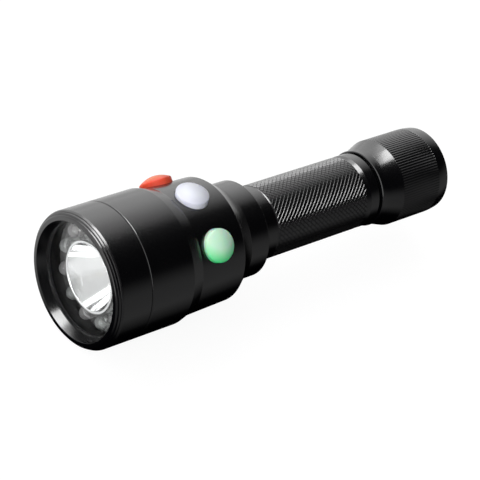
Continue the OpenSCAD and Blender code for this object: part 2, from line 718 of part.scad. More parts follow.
module tail_spring() color("#c8ccd0") along_axis() polyhedron(
    points = [for (i = [0 : spring_rings], k = [0 : spring_sides - 1]) spring_point(i, k)],
    faces = concat(
        [for (k = [1 : spring_sides - 2]) [0, k, k + 1]],
        [for (k = [1 : spring_sides - 2]) let (last = spring_rings * spring_sides)
            [last, last + k + 1, last + k]],
        [for (i = [0 : spring_rings - 1], k = [0 : spring_sides - 1])
            let (here = i * spring_sides, next = here + spring_sides, beside = (k + 1) % spring_sides)
                [here + k, next + k, here + beside]],
        [for (i = [0 : spring_rings - 1], k = [0 : spring_sides - 1])
            let (here = i * spring_sides, next = here + spring_sides, beside = (k + 1) % spring_sides)
                [here + beside, next + k, next + beside]]
    )
);

bezel_ring();
lens_gasket();
lens();
bezel_o_ring();
head_body();
reflector();
led_centering_ring();
main_led();
main_led_board();
main_board_screws();
signal_board();
red_signal_leds();
green_signal_leds();
board_standoffs();
board_screws();
heat_sink();
main_led_wires();
signal_wires();
switch_carrier();
switch_boards();
switch_board_screws();
switch_bodies();
switch_wires();
red_button();
white_button();
green_button();
red_plunger();
white_plunger();
green_plunger();
driver_board();
driver_chip();
driver_coil();
positive_contact();
contact_insulator();
barrel_tube();
barrel_front_o_ring();
barrel_rear_o_ring();
battery_sleeve();
battery_cell();
battery_cap();
tail_cap();
tail_spring();
tail_contact_board();
tail_retaining_ring();
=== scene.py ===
import json
import math

import bpy
from mathutils import Euler, Matrix, Vector


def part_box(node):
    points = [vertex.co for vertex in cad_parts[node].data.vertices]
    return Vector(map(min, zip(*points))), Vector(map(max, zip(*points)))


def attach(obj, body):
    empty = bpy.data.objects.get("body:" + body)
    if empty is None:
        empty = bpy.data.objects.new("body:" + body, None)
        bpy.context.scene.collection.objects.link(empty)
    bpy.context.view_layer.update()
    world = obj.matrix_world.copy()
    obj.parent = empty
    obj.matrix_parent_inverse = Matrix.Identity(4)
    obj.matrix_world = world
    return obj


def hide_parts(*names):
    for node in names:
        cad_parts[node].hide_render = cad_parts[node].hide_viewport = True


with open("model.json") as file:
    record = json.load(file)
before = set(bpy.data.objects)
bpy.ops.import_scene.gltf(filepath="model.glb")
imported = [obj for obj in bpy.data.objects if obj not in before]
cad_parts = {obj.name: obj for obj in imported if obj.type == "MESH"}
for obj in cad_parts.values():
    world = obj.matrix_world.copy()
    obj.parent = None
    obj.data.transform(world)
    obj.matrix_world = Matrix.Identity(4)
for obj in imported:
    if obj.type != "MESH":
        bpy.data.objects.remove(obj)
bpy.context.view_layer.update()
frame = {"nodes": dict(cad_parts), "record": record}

# Head shell: one piece of aluminium bar, turned and bored, then anodised black.
# It runs from the spigot under the bezel to the neck that holds the barrel,
# and three holes are drilled through its wall for the push buttons.
mm = 0.001
bezel_low, bezel_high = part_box("bezel_ring")
axis_z = (bezel_low.z + bezel_high.z) / 2
front_y = bezel_low.y
lamp_front = Vector((0, front_y, axis_z))
beam = Vector((0, 1, 0))
sideways = Vector((1, 0, 0))
weld = 0.001 * mm


def station(y):
    """Distance behind the front rim, in millimetres."""
    return (y - front_y) / mm


def select_only(piece):
    bpy.ops.object.select_all(action="DESELECT")
    piece.select_set(True)
    bpy.context.view_layer.objects.active = piece


def spun(name, outline, foot=lamp_front, along=beam, out=sideways, steps=192):
    """An outline of (radius, height) in millimetres, spun round the axis that starts at foot.
    It is closed into a ring, unless both of its ends lie on the axis."""
    places = [foot + out * radius * mm + along * height * mm for radius, height in outline]
    bpy.ops.object.select_all(action="DESELECT")
    bpy.ops.mesh.primitive_plane_add(size=mm)
    piece = bpy.context.object
    piece.name = name
    bpy.ops.object.mode_set(mode="EDIT")
    bpy.ops.mesh.select_mode(type="VERT")
    bpy.ops.mesh.select_all(action="SELECT")
    bpy.ops.mesh.merge(type="CENTER")
    bpy.ops.transform.translate(value=places[0])
    closing = [] if outline[0][0] == outline[-1][0] == 0 else places[:1]
    for here, there in zip(places, places[1:] + closing):
        bpy.ops.mesh.extrude_vertices_move(TRANSFORM_OT_translate={"value": there - here})
    bpy.ops.mesh.select_all(action="SELECT")
    bpy.ops.mesh.remove_doubles(threshold=weld)
    bpy.ops.mesh.select_all(action="SELECT")
    bpy.ops.mesh.spin(steps=steps, angle=2 * math.pi, center=foot, axis=along)
    bpy.ops.mesh.select_all(action="SELECT")
    bpy.ops.mesh.remove_doubles(threshold=weld)
    bpy.ops.mesh.select_all(action="SELECT")
    bpy.ops.mesh.normals_make_consistent(inside=False)
    bpy.ops.object.mode_set(mode="OBJECT")
    return piece


def apply_modifier(piece, kind, **settings):
    select_only(piece)
    modifier = piece.modifiers.new(kind.lower(), kind)
    for setting, value in settings.items():
        setattr(modifier, setting, value)
    bpy.ops.object.modifier_apply(modifier=modifier.name)


def break_edges(piece, width, from_angle=8, segments=2):
    """Takes the sharpness off every turned corner, as a file or a tumbler does."""
    apply_modifier(piece, "BEVEL", width=width * mm, segments=segments, limit_method="ANGLE",
                   angle_limit=math.radians(from_angle), use_clamp_overlap=True)


def drill(piece, foot, along, radius, start, end, sides=64):
    """Cuts a round hole along an axis, between two heights in millimetres."""
    middle = foot + along * (start + end) / 2 * mm
    bpy.ops.object.select_all(action="DESELECT")
    bpy.ops.mesh.primitive_cylinder_add(vertices=sides, radius=radius * mm, depth=(end - start) * mm,
                                        location=middle, rotation=along.to_track_quat("Z", "Y").to_euler())
    cutter = bpy.context.object
    apply_modifier(piece, "BOOLEAN", operation="DIFFERENCE", object=cutter, solver="EXACT")
    bpy.data.objects.remove(cutter)


def smooth(piece, sharp_from=28):
    """Smooth shading that leaves true corners crisp and flat faces flat."""
    select_only(piece)
    bpy.ops.object.shade_smooth_by_angle(angle=math.radians(sharp_from))
    apply_modifier(piece, "WEIGHTED_NORMAL", keep_sharp=True)


def put(piece, material, body, slot, *nodes):
    """Gives a finished piece its material and its body, and hides the nodes that it stands for. The slot is not
    used.
    """
    piece.data.materials.clear()
    piece.data.materials.append(material)
    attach(piece, body)
    if nodes:
        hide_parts(*nodes)


class Finish:
    """A material with one principled shader, whose detail comes from textures on Object coordinates."""

    def __init__(self, name, **sockets):
        self.material = bpy.data.materials.new(name)
        self.material.use_nodes = True
        self.tree = self.material.node_tree
        self.shader = self.tree.nodes["Principled BSDF"]
        self.place = self.add("ShaderNodeTexCoord").outputs["Object"]
        for socket, value in sockets.items():
            self.shader.inputs[socket.replace("_", " ")].default_value = value

    def add(self, kind, **inputs):
        node = self.tree.nodes.new(kind)
        for socket, value in inputs.items():
            self.feed(value, node.inputs[socket])
        return node

    def feed(self, value, socket):
        if isinstance(value, bpy.types.NodeSocket):
            self.tree.links.new(value, socket)
        else:
            socket.default_value = value

    def noise(self, size, detail=2.0, stretch=(1, 1, 1)):
        """Noise whose blotches are about this many millimetres wide, stretched by a factor per axis."""
        mapped = self.add("ShaderNodeMapping", Vector=self.place, Scale=stretch).outputs["Vector"]
        return self.add("ShaderNodeTexNoise", Vector=mapped, Scale=1 / (size * mm), Detail=detail).outputs["Fac"]

    def between(self, source, low, high, start=0.3, end=0.7):
        node = self.add("ShaderNodeMapRange", Value=source)
        for socket, value in (("From Min", start), ("From Max", end), ("To Min", low), ("To Max", high)):
            node.inputs[socket].default_value = value
        return node.outputs["Result"]

    def blend(self, amount, first, second):
        node = self.tree.nodes.new("ShaderNodeMix")
        node.data_type = "RGBA"
        self.feed(amount, node.inputs["Factor"])
        self.feed(first, node.inputs[6])
        self.feed(second, node.inputs[7])
        return node.outputs[2]

    def total(self, first, second):
        node = self.tree.nodes.new("ShaderNodeMath")
        self.feed(first, node.inputs[0])
        self.feed(second, node.inputs[1])
        return node.outputs[0]

    def rough(self, source, low, high):
        self.feed(self.between(source, low, high), self.shader.inputs["Roughness"])

    def colour(self, source):
        self.feed(source, self.shader.inputs["Base Color"])

    def from_axis(self, foot, along):
        """Distance from an axis, in metres."""
        vector = self.place
        for operation, other in (("SUBTRACT", foot), ("CROSS_PRODUCT", along)):
            node = self.tree.nodes.new("ShaderNodeVectorMath")
            node.operation = operation
            self.feed(vector, node.inputs[0])
            node.inputs[1].default_value = other
            vector = node.outputs["Vector"]
        node = self.tree.nodes.new("ShaderNodeVectorMath")
        node.operation = "LENGTH"
        self.feed(vector, node.inputs[0])
        return node.outputs["Value"]

    def bump(self, height, depth, strength=1.0):
        """Relief of this depth in millimetres."""
        node = self.add("ShaderNodeBump", Height=height, Strength=strength, Distance=depth * mm)
        self.feed(node.outputs["Normal"], self.shader.inputs["Normal"])


def black_anodised():
    """Satin black oxide: a fine speckle from the etch, over faint rings left by the lathe tool."""
    finish = Finish("black_anodised", IOR=1.75)
    etch = finish.noise(0.12, detail=3.0)
    rings = finish.noise(0.3, stretch=(0.02, 1, 0.02))
    finish.colour(finish.blend(finish.noise(9), (0.0006, 0.0006, 0.0010, 1), (0.0011, 0.0011, 0.0017, 1)))
    finish.rough(finish.noise(0.5), 0.18, 0.23)
    finish.bump(finish.total(etch, rings), 0.0004)
    return finish.material


anodised = black_anodised()

head_r = (bezel_high.x - bezel_low.x) / 2 / mm
seam = station(bezel_high.y)
neck_rear = station(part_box("head_body")[1].y)
spigot_front = station(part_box("head_body")[0].y)
spigot_r = head_r - 1.8
head_bore_r = spigot_r - 1.6
head_end = seam + 17.6
button_front = head_end + 4.8
button_rear = button_front + 18.8
neck_front = button_rear + 7.2
button_front_r = head_r - 1.3
button_rear_r = button_front_r - 0.5
cavity_r = button_rear_r - 3.6
neck_r = 17.3
neck_bore_r = 13
neck_edge = 0.4
shoulder_front = station(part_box("heat_sink")[1].y)
shoulder_rear = station(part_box("driver_board")[1].y)
seam_chamfer = 0.3
head = spun("head_shell", [
    (head_bore_r, spigot_front), (spigot_r, spigot_front), (spigot_r, seam),
    (head_r - seam_chamfer, seam), (head_r, seam + seam_chamfer),
    (head_r, head_end), (button_front_r, button_front), (button_rear_r, button_rear),
    (neck_r, neck_front), (neck_r, neck_rear - neck_edge), (neck_r - neck_edge, neck_rear),
    (neck_bore_r, neck_rear), (neck_bore_r, shoulder_rear), (cavity_r, shoulder_rear),
    (cavity_r, shoulder_front), (head_bore_r, shoulder_front),
])
break_edges(head, 0.16)

BUTTON_ANGLES = {"red": 140, "white": 90, "green": 40}
button_at = Vector((0, (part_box("white_button")[0].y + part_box("white_button")[1].y) / 2, axis_z))
button_hole_r = 5.95
flange_hole_r = 7.15
flange_seat = 20.3
drill_start = 10
drill_end = head_r + 4


def outwards(angle):
    """Direction across the axis, at an angle from the +X side towards the top."""
    return Vector((math.cos(math.radians(angle)), 0, math.sin(math.radians(angle))))


for angle in BUTTON_ANGLES.values():
    drill(head, button_at, outwards(angle), flange_hole_r, drill_start, flange_seat)
    drill(head, button_at, outwards(angle), button_hole_r, drill_start, drill_end)
smooth(head)
put(head, anodised, "torch", "black_anodised", "head_body")

# Lamp boards: an aluminium heat sink on the shoulder in the head carries the main lamp's board
# and, on brass standoffs, the ring board of the signal lamps. Screws and short wires join them.
SLOT_OF = {part["node"]: part["material_slot"] for part in frame["record"]["subparts"]}


def dress(slot, material):
    """Gives the CAD nodes of a slot, which keep their own solids, a procedural material."""
    for node, slot_of_node in SLOT_OF.items():
        if slot_of_node == slot:
            for place in frame["nodes"][node].material_slots:
                place.material = material


def machined(name, dark, light, low, high):
    """Bare metal with the fine streaks of the tool that cut it."""
    finish = Finish(name, Metallic=1.0)
    finish.colour(finish.blend(finish.noise(1.5), dark, light))
    finish.rough(finish.noise(0.4, stretch=(1, 6, 1)), low, high)
    finish.bump(finish.noise(0.15, stretch=(0.1, 1, 0.1)), 0.002)
    return finish.material


def solder_mask(name, dark, light):
    """Lacquered glass-fibre board, whose weave shows faintly through the lacquer."""
    finish = Finish(name)
    finish.colour(finish.blend(finish.noise(3), dark, light))
    finish.rough(finish.noise(0.6), 0.30, 0.42)
    finish.bump(finish.noise(0.4, stretch=(1, 3, 1)), 0.004)
    return finish.material


def dull_plastic(name, dark, light):
    """Moulded plastic with the fine grain of a spark-eroded mould."""
    finish = Finish(name, IOR=1.46)
    finish.colour(finish.blend(finish.noise(2), dark, light))
    finish.rough(finish.noise(0.3), 0.42, 0.58)
    finish.bump(finish.noise(0.12), 0.004)
    return finish.material


dress("bare_aluminium", machined("bare_aluminium", (0.58, 0.59, 0.61, 1), (0.72, 0.73, 0.75, 1), 0.28, 0.42))
dress("brass", machined("turned_brass", (0.58, 0.42, 0.16, 1), (0.72, 0.55, 0.24, 1), 0.22, 0.36))
dress("zinc_steel", machined("zinc_steel", (0.52, 0.53, 0.55, 1), (0.66, 0.67, 0.69, 1), 0.24, 0.38))
dress("white_board", solder_mask("white_board", (0.70, 0.71, 0.70, 1), (0.78, 0.79, 0.78, 1)))
dress("emitter", dull_plastic("phosphor", (0.80, 0.66, 0.16, 1), (0.90, 0.78, 0.28, 1)))
dress("white_plastic", dull_plastic("white_plastic", (0.76, 0.76, 0.73, 1), (0.84, 0.84, 0.81, 1)))
dress("red_wire", dull_plastic("red_insulation", (0.45, 0.03, 0.02, 1), (0.58, 0.05, 0.03, 1)))
dress("black_wire", dull_plastic("black_insulation", (0.015, 0.015, 0.017, 1), (0.03, 0.03, 0.033, 1)))

# Reflector: a spun aluminium cup on a parabola, polished and metallised to a mirror.
# Its rolled rim bears on the back of the lens, and its small end sits on the
# centring ring round the main lamp.
lens_space = 0.06
cup_front = station(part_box("reflector")[0].y) + lens_space
cup_rear = station(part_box("reflector")[1].y)
rim_r = (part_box("reflector")[1].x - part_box("reflector")[0].x) / 2 / mm
rim_w = 1
rim_t = 1.2
cup_wall = 0.9
emitter_height = 0.6
focus = station(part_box("main_led_board")[0].y) - emitter_height
cup_depth = focus - cup_front
focal_length = (math.hypot(cup_depth, rim_r - rim_w) - cup_depth) / 2
cup_steps = 40


def cup_r(s):
    return math.sqrt(4 * focal_length * (focus + focal_length - s))


cup_stations = [cup_front + (cup_rear - cup_front) * i / cup_steps for i in range(cup_steps + 1)]
reflector = spun("reflector_cup", [
    *[(cup_r(s), s) for s in cup_stations],
    *[(cup_r(s) + cup_wall, s) for s in reversed(cup_stations) if s > cup_front + rim_t],
    (rim_r, cup_front + rim_t), (rim_r, cup_front),
])
break_edges(reflector, 0.25, from_angle=35, segments=3)
smooth(reflector)


def mirror_finish():
    """Metallised mirror with a faint haze and the ripple of a spun sheet."""
    finish = Finish("mirror_metal", Metallic=1.0)
    finish.colour(finish.blend(finish.noise(3), (0.88, 0.88, 0.88, 1), (0.94, 0.94, 0.94, 1)))
    finish.rough(finish.noise(1.5), 0.10, 0.16)
    finish.bump(finish.noise(2.5), 0.004)
    return finish.material


put(reflector, mirror_finish(), "torch", "bright_reflector", "reflector")

# Signal lamps: twelve clear 5 mm lamps, red and green in turn, cast in epoxy round a metal
# lead frame and soldered to the ring board behind them. Unlit, both colours look clear.
lamp_tip = station(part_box("red_signal_leds")[0].y)
lamp_base = station(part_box("red_signal_leds")[1].y)
lamp_circle_r = 16.5
lamp_r = 2.5
lamp_flange_r = 2.9
lamp_flange_t = 1
lamp_count = 12
dome_steps = 10


def joined(first, *others):
    """Joins pieces into the first one, as separate shells of one mesh."""
    select_only(first)
    for other in others:
        other.select_set(True)
    bpy.ops.object.join()
    return first


def round_the_axis(piece, turns):
    """Copies a piece round the lamp's axis, each copy with its own mesh, and joins the copies to it."""
    copies = []
    for turn in turns:
        copy = piece.copy()
        copy.data = piece.data.copy()
        bpy.context.scene.collection.objects.link(copy)
        about_axis = Matrix.Rotation(math.radians(-turn), 4, beam)
        copy.data.transform(Matrix.Translation(lamp_front) @ about_axis @ Matrix.Translation(-lamp_front))
        copies.append(copy)
    return joined(piece, *copies)


def lamp_bodies(name, angles):
    """Round-nosed resin bodies with a flange at the foot."""
    dome = [(lamp_r * math.sin(a), lamp_tip + lamp_r * (1 - math.cos(a)))
            for a in [math.pi / 2 * i / dome_steps for i in range(dome_steps + 1)]]
    body = spun(name, [
        *dome, (lamp_r, lamp_base - lamp_flange_t), (lamp_flange_r, lamp_base - lamp_flange_t),
        (lamp_flange_r, lamp_base), (0, lamp_base),
    ], lamp_front + outwards(angles[0]) * lamp_circle_r * mm, steps=32)
    break_edges(body, 0.15, from_angle=40)
    smooth(body, 40)
    return round_the_axis(body, [angle - angles[0] for angle in angles[1:]])


def lead_frames(angles):
    """In each lamp, a post with the little cup that holds the chip, and a thinner post beside it."""
    chip_cup_lip = lamp_tip + 3.6
    chip_cup_floor = chip_cup_lip + 0.4
    chip_cup_r, chip_cup_bore_r = 0.85, 0.6
    post_r, side_post_r, side_post_head_r = 0.3, 0.25, 0.4
    post_foot = lamp_base - 0.2
    post_offset, side_post_offset = -0.4, 1.6
    foot = lamp_front + outwards(angles[0]) * (lamp_circle_r + post_offset) * mm
    post = spun("lead_frames", [
        (0, post_foot), (post_r, post_foot), (post_r, chip_cup_lip + 1.6), (chip_cup_r, chip_cup_lip + 0.9),
        (chip_cup_r, chip_cup_lip), (chip_cup_bore_r, chip_cup_lip), (post_r, chip_cup_floor), (0, chip_cup_floor),
    ], foot, steps=16)
    side_post = spun("side_post", [
        (0, post_foot), (side_post_r, post_foot), (side_post_r, chip_cup_lip + 1),
        (side_post_head_r, chip_cup_lip + 0.5), (side_post_head_r, chip_cup_lip + 0.2), (0, chip_cup_lip + 0.2),
    ], foot + outwards(angles[0]) * side_post_offset * mm, steps=12)
    frames = joined(post, side_post)
    smooth(frames)
    return round_the_axis(frames, [angle - angles[0] for angle in angles[1:]])


def clear_epoxy(name, tint):
    """Clear casting resin, faintly milky, with the slight waviness of a mould."""
    finish = Finish(name, Transmission_Weight=0.8, IOR=1.5, Base_Color=tint)
    finish.rough(finish.noise(2), 0.03, 0.10)
    finish.bump(finish.noise(1.2), 0.004)
    return finish.material


RED_ANGLES = [90 + 60 * i for i in range(lamp_count // 2)]
GREEN_ANGLES = [angle + 30 for angle in RED_ANGLES]
red_lamps = lamp_bodies("red_signal_lamps", RED_ANGLES)
green_lamps = lamp_bodies("green_signal_lamps", GREEN_ANGLES)
tinned = machined("tinned_lead", (0.62, 0.62, 0.62, 1), (0.76, 0.76, 0.76, 1), 0.2, 0.34)
put(lead_frames(RED_ANGLES + GREEN_ANGLES), tinned, "torch", "zinc_steel")
red_epoxy = clear_epoxy("clear_epoxy_red", (0.98, 0.95, 0.95, 1))
put(red_lamps, red_epoxy, "torch", "clear_red_led", "red_signal_leds")
green_epoxy = clear_epoxy("clear_epoxy_green", (0.95, 0.98, 0.96, 1))
put(green_lamps, green_epoxy, "torch", "clear_green_led", "green_signal_leds")

# Lens: a flat disc of clear glass with ground edges, clamped by the bezel
# against the head's spigot with a black rubber gasket in front of it.
lens_low, lens_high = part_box("lens")
lens_r = (lens_high.x - lens_low.x) / 2 / mm
lens_front = station(lens_low.y)
lens_back = station(lens_high.y)
lens = spun("lens_glass", [(0, lens_front), (lens_r, lens_front), (lens_r, lens_back), (0, lens_back)])
break_edges(lens, 0.2, from_angle=40)
smooth(lens)


def clear_glass():
    """Coated glass: clear, very smooth, with a faint smear in its gloss."""
    finish = Finish("clear_glass", Transmission_Weight=1.0, IOR=1.45, Base_Color=(0.99, 1.0, 1.0, 1))
    finish.rough(finish.noise(6), 0.0, 0.015)
    return finish.material


put(lens, clear_glass(), "torch", "clear_glass", "lens")

gasket_front = station(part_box("lens_gasket")[0].y)
aperture_r = head_r - 4.4
gasket = spun("lens_gasket_ring", [
    (aperture_r, gasket_front), (lens_r, gasket_front), (lens_r, lens_front), (aperture_r, lens_front),
])
break_edges(gasket, 0.1, from_angle=40)
smooth(gasket)


def black_rubber():
    """Moulded rubber: dull, with a grain that breaks up its sheen."""
    finish = Finish("black_rubber")
    finish.colour(finish.blend(finish.noise(1.5), (0.004, 0.004, 0.005, 1), (0.008, 0.008, 0.009, 1)))
    finish.rough(finish.noise(0.3), 0.55, 0.75)
    finish.bump(finish.noise(0.15), 0.006)
    return finish.material


rubber = black_rubber()
put(gasket, rubber, "torch", "black_rubber", "lens_gasket")
dress("black_rubber", rubber)

# Bezel: a turned and anodised ring that screws onto the head's spigot and holds the lens.
# Its flat lip is stepped in from the head's diameter by way of a narrow bead,
# and its mouth tapers inwards to a land in front of the gasket.
mouth_r = head_r - 3.1
mouth_end = 3.2
bezel_bore_r = head_r - 1.7
lip_r = head_r - 1.35
bead_r = head_r - 0.675
lip_edge = 0.35
bead_edge = 0.15
rim_len = 2.3
rim_step = rim_len / 3
bezel = spun("bezel", [
    (mouth_r, 0), (lip_r - lip_edge, 0), (lip_r, lip_edge), (lip_r, rim_step),
    (bead_r - bead_edge, rim_step), (bead_r, rim_step + bead_edge), (bead_r, 2 * rim_step),
    (head_r - lip_edge, 2 * rim_step), (head_r, 3 * rim_step),
    (head_r, seam - seam_chamfer), (head_r - seam_chamfer, seam),
    (bezel_bore_r, seam), (bezel_bore_r, gasket_front), (aperture_r, gasket_front), (aperture_r, mouth_end),
])
break_edges(bezel, 0.12)
smooth(bezel)
put(bezel, anodised, "torch", "black_anodised", "bezel_ring")

# Push buttons: moulded plastic caps, one red, one white and one green, with a round dome.
# Each slides in its hole and is kept in by a flange on the inside of the wall.
button_r = 5.75
button_top = (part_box("white_button")[1].z - axis_z) / mm
button_dome = 1.9
button_flange_r = 6.85
button_flange_top = 20.1
button_foot = 18.9


def button_cap(colour):
    """A cap with a round dome, a straight skirt and the flange at its foot."""
    rings = 12
    dome = [(button_r * (1 - i / rings), button_top - button_dome * (1 - i / rings) ** 2)
            for i in range(rings + 1)]
    cap = spun(colour + "_push_button", [
        (0, button_foot), (button_flange_r, button_foot), (button_flange_r, button_flange_top),
        (button_r, button_flange_top), *dome,
    ], button_at, outwards(BUTTON_ANGLES[colour]), beam, steps=96)
    break_edges(cap, 0.3, from_angle=40, segments=4)
    smooth(cap)
    return cap


def translucent_plastic(colour, pale, deep, lift, start, end):
    """Translucent moulded plastic with painted light: a painted highlight, pale round a spot above its middle where
    the light falls, and painted shade, deeper in colour, away from it.
    """
    finish = Finish(colour + "_cap_plastic", IOR=1.46, Subsurface_Weight=0.6, Subsurface_Scale=2.0 * mm,
                    Subsurface_Radius=deep[:3])
    # Painted light: the pale spot stands where light from above falls, and the colour deepens away from it as
    # painted shade.
    painted_light_spot = button_at + outwards(90 + BUTTON_ANGLES[colour]) * lift * mm
    away = finish.from_axis(painted_light_spot, outwards(BUTTON_ANGLES[colour]))
    depth = finish.between(away, 0.0, 1.0, start * mm, end * mm)
    mottle = finish.between(finish.noise(2.5), -0.04, 0.04)
    finish.colour(finish.blend(finish.total(depth, mottle), pale, deep))
    finish.rough(finish.noise(0.8), 0.5, 0.6)
    finish.bump(finish.noise(0.2), 0.002)
    return finish.material


# Per cap: its colour under a painted highlight, its colour in painted shade, how far the painted light sits above
# the middle, and where the painted shade starts and ends.
BUTTON_FINISHES = {
    "red": translucent_plastic("red", (0.92, 0.24, 0.13, 1), (0.88, 0.08, 0.03, 1), 0, 3.6, 5.7),
    "white": translucent_plastic("white", (0.80, 0.82, 0.90, 1), (0.72, 0.73, 0.83, 1), 0, 3.0, 5.6),
    "green": translucent_plastic("green", (0.62, 0.94, 0.71, 1), (0.06, 0.80, 0.26, 1), 4, 5.0, 9.6),
}
for colour, material in BUTTON_FINISHES.items():
    put(button_cap(colour), material, colour + "_push", colour + "_button", colour + "_button")

# Switches and driver: a moulded drum behind the lamp boards carries three push switches on small
# boards, and the driver board behind it sends the battery's current to the lamps.
dress("black_plastic", dull_plastic("black_plastic", (0.018, 0.018, 0.020, 1), (0.032, 0.032, 0.035, 1)))
dress("green_board", solder_mask("green_board", (0.012, 0.11, 0.035, 1), (0.020, 0.17, 0.06, 1)))
dress("coil_brown", dull_plastic("varnished_winding", (0.11, 0.05, 0.022, 1), (0.19, 0.09, 0.04, 1)))
dress("blue_wire", dull_plastic("blue_insulation", (0.035, 0.09, 0.30, 1), (0.05, 0.14, 0.42, 1)))

# Barrel: a turned aluminium tube with a threaded spigot at each end, anodised with the head.
# Its grip is rolled with a diamond knurl, and a ring groove closes the knurl at the rear.
barrel_low, barrel_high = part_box("barrel_tube")
barrel_front = station(barrel_low.y)
spigot_end = station(barrel_high.y)
grip_r = (barrel_high.x - barrel_low.x) / 2 / mm
barrel_bore_r = 10.8
collar_r = grip_r - 0.2
grip_front = neck_rear + 7.8
grip_rear = grip_front + 42.7
barrel_rear = grip_rear + 6.2
front_spigot_r = 12.9
rear_spigot_r = 12.4
grip_lip = 0.1
grip_lip_ramp = 0.3
relief = 0.6
relief_floor = 0.2
relief_len = 2
ring_edge = 0.25
spigot_taper = 0.5
knurl_depth = 0.14
knurl_round = 47
knurl_rows = 23
knurl_valley_r = grip_r - knurl_depth
knurl_seat_r = knurl_valley_r - 0.1
thread_front = barrel_rear + 4.2
thread_pitch = 1.5
thread_depth = 0.45
thread_turns = 4
seal_at = barrel_rear + 2.6
seal_w = 1.6
seal_depth = 1.1
thread = [(rear_spigot_r - depth * thread_depth, thread_front + (turn + depth / 2) * thread_pitch)
          for turn in range(thread_turns) for depth in (0, 1)]
barrel = spun("barrel", [
    (barrel_bore_r, barrel_front), (front_spigot_r, barrel_front), (front_spigot_r, neck_rear),
    (collar_r, neck_rear), (collar_r, grip_front - grip_lip - grip_lip_ramp), (grip_r, grip_front - grip_lip),
    (grip_r, grip_front), (knurl_seat_r, grip_front), (knurl_seat_r, grip_rear),
    (grip_r - relief, grip_rear), (grip_r - relief, grip_rear + relief_floor), (grip_r, grip_rear + relief_len),
    (grip_r, barrel_rear - ring_edge), (grip_r - ring_edge, barrel_rear), (rear_spigot_r, barrel_rear),
    (rear_spigot_r, seal_at - seal_w / 2), (rear_spigot_r - seal_depth, seal_at - seal_w / 2),
    (rear_spigot_r - seal_depth, seal_at + seal_w / 2), (rear_spigot_r, seal_at + seal_w / 2),
    *thread,
    (rear_spigot_r, thread_front + thread_turns * thread_pitch), (rear_spigot_r - spigot_taper, spigot_end),
    (barrel_bore_r, spigot_end),
])
break_edges(barrel, 0.1)


def select_edges(piece, wanted):
    """Selects, in edit mode, the edges whose two ends pass the test."""
    bpy.ops.mesh.select_mode(type="EDGE")
    bpy.ops.mesh.select_all(action="DESELECT")
    bpy.ops.object.mode_set(mode="OBJECT")
    ends = piece.data.vertices
    for edge in piece.data.edges:
        edge.select = wanted(ends[edge.vertices[0]].co, ends[edge.vertices[1]].co)
    bpy.ops.object.mode_set(mode="EDIT")


def knurled_sleeve():
    """A tube of quads is turned into diamonds, and each diamond is raised to a blunt pyramid.
    The sleeve's ends are then drawn in and joined, so that it has a wall of its own."""
    sleeve_wall = 0.5
    length = (grip_rear - grip_front) * mm
    row = length / knurl_rows
    middle = lamp_front + beam * (grip_front + grip_rear) / 2 * mm
    bpy.ops.object.select_all(action="DESELECT")
    bpy.ops.mesh.primitive_cylinder_add(vertices=knurl_round, radius=knurl_valley_r * mm, depth=length,
                                        end_fill_type="NOTHING", location=middle, rotation=(math.pi / 2, 0, 0))
    sleeve = bpy.context.object
    sleeve.name = "knurl"
    bpy.ops.object.transform_apply(location=True, rotation=True, scale=True)
    bpy.ops.object.mode_set(mode="EDIT")
    select_edges(sleeve, lambda a, b: abs(a.y - b.y) > length / 2)
    bpy.ops.mesh.subdivide(number_cuts=knurl_rows - 1)
    bpy.ops.mesh.select_mode(type="FACE")
    bpy.ops.mesh.select_all(action="SELECT")
    bpy.ops.mesh.poke()
    ends = (middle.y - length / 2, middle.y + length / 2)

    def straight(a, b):
        """The edges of the quads, round or along, which the diamonds do without."""
        inside = min(abs((a.y + b.y) / 2 - end) for end in ends) > weld
        return inside and (abs(a.y - b.y) < weld or abs(a.y - b.y) > row * 0.9)

    select_edges(sleeve, straight)
    bpy.ops.mesh.dissolve_edges(use_verts=False)
    bpy.ops.mesh.select_mode(type="FACE")
    bpy.ops.mesh.select_all(action="SELECT")
    bpy.ops.mesh.inset(thickness=knurl_depth * mm, depth=knurl_depth * mm, use_individual=True, use_even_offset=True)
    for end in ends:
        select_edges(sleeve, lambda a, b: abs(a.y - end) < weld and abs(b.y - end) < weld)
        bpy.ops.mesh.extrude_edges_move()
        inner = 1 - sleeve_wall / knurl_valley_r
        bpy.ops.transform.resize(value=(inner, 1, inner), center_override=middle)
    bpy.ops.mesh.select_all(action="DESELECT")
    bpy.ops.mesh.select_non_manifold()
    bpy.ops.mesh.bridge_edge_loops()
    bpy.ops.mesh.select_all(action="SELECT")
    bpy.ops.mesh.normals_make_consistent(inside=False)
    bpy.ops.object.mode_set(mode="OBJECT")
    return sleeve


knurl = knurled_sleeve()
apply_modifier(barrel, "BOOLEAN", operation="UNION", object=knurl, solver="EXACT")
bpy.data.objects.remove(knurl)
smooth(barrel)
put(barrel, anodised, "torch", "black_anodised", "barrel_tube")

# Battery: one lithium cell in a printed plastic wrap, in a sleeve that fills the barrel.
dress("cell_wrap", dull_plastic("cell_wrap", (0.03, 0.12, 0.34, 1), (0.045, 0.17, 0.45, 1)))

